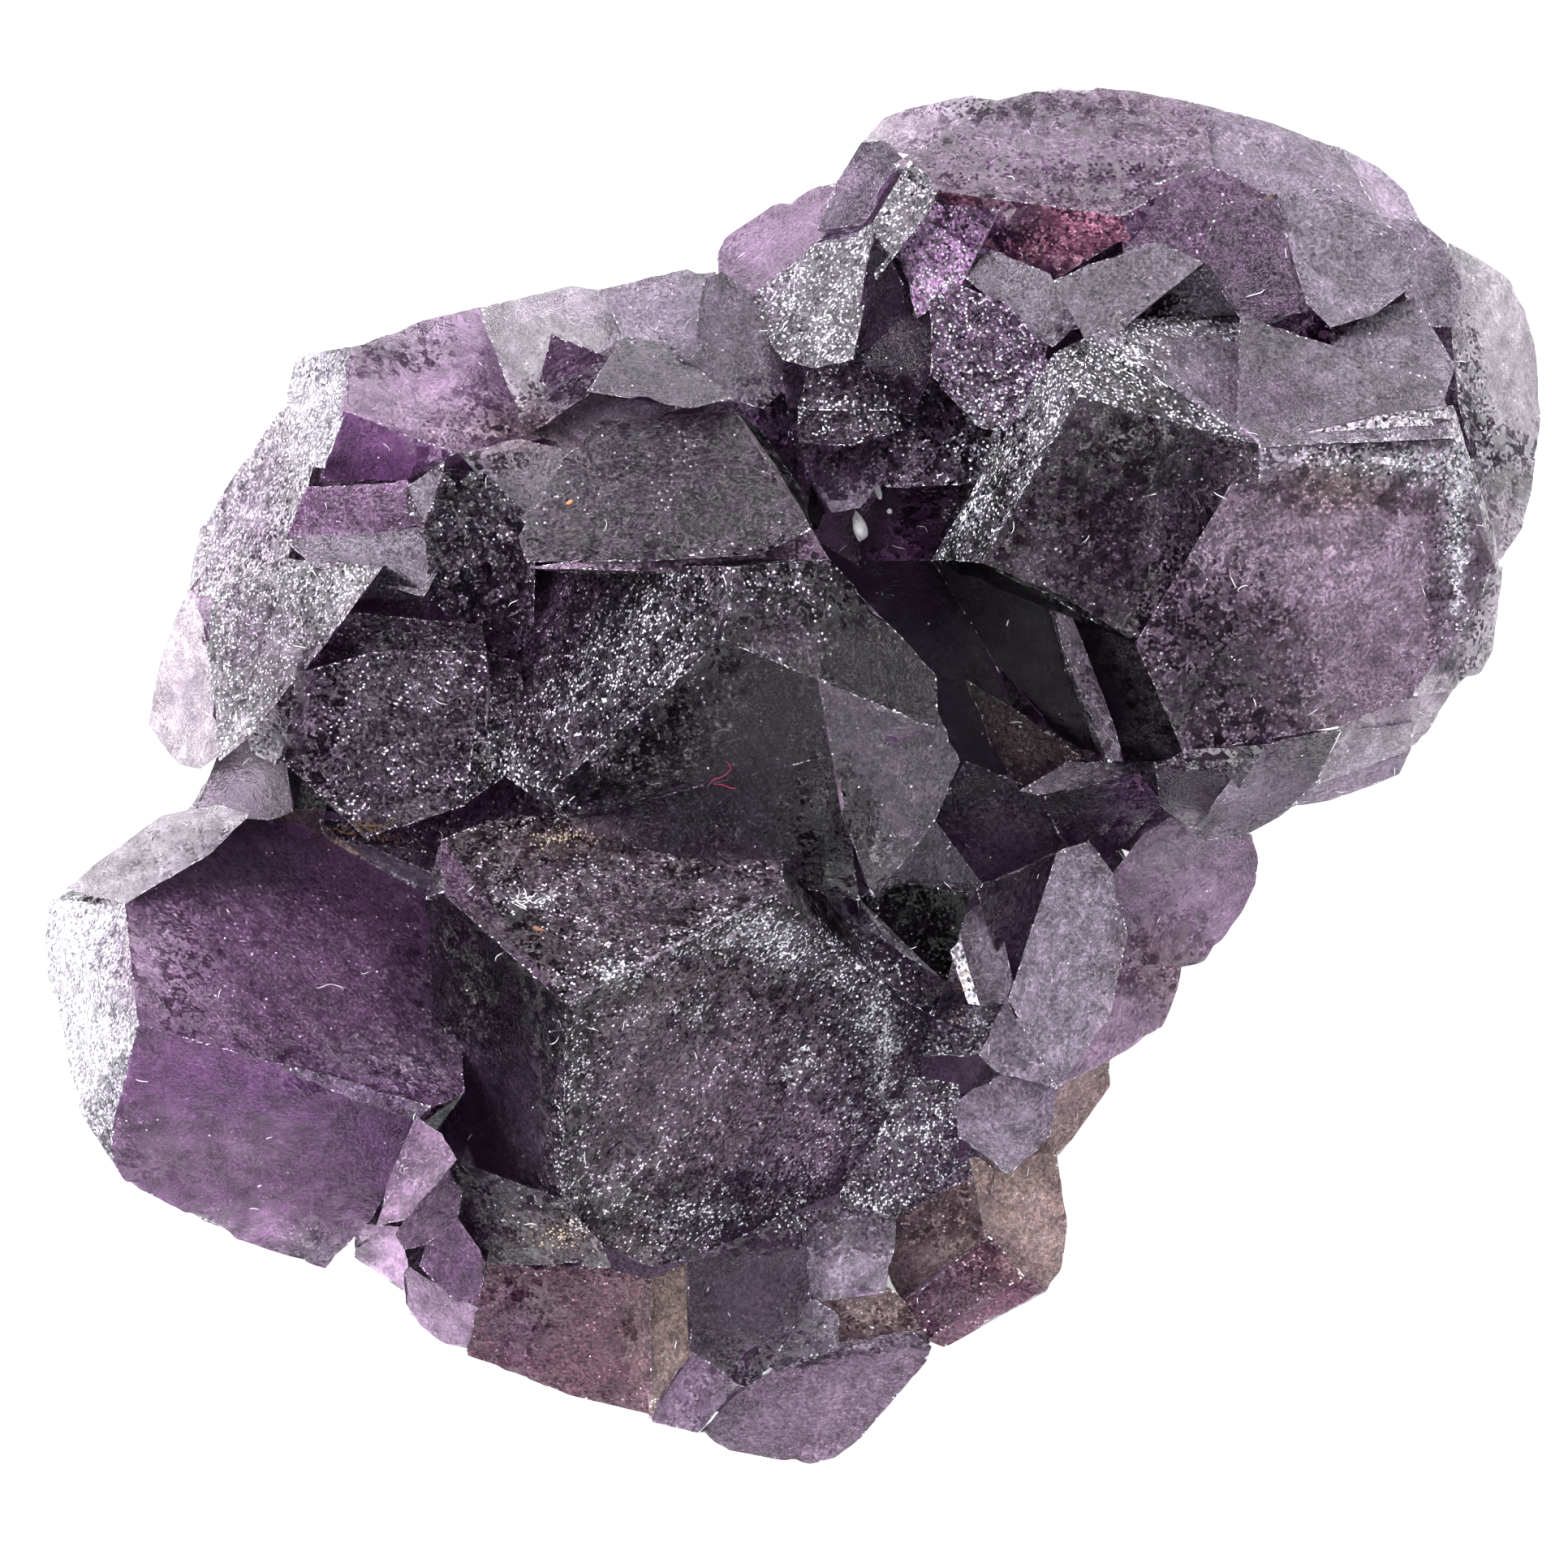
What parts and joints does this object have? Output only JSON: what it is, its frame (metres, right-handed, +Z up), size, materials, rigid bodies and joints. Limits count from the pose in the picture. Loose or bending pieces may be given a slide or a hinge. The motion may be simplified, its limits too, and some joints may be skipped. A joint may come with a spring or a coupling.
{
  "type": "fluorite crystal cluster",
  "caption": "Cluster of intergrown frosted purple fluorite cubes, translucent at its thin edges, lying on a flat cut back.",
  "frame": {"origin": "centre of the bounding box at the flat cut back that the cluster lies on", "axes": "+Z up out of the crystal side, +X along the long direction of the cluster, +Y across it"},
  "size_m": [0.0746, 0.0694, 0.0248],
  "materials": {
    "fluorite": "frosted dark purple crystal, satin on its faces, paler and see-through at thin edges"
  },
  "bodies": {
    "root": {"fluorite_cluster": "fluorite"}
  },
  "joints": []
}
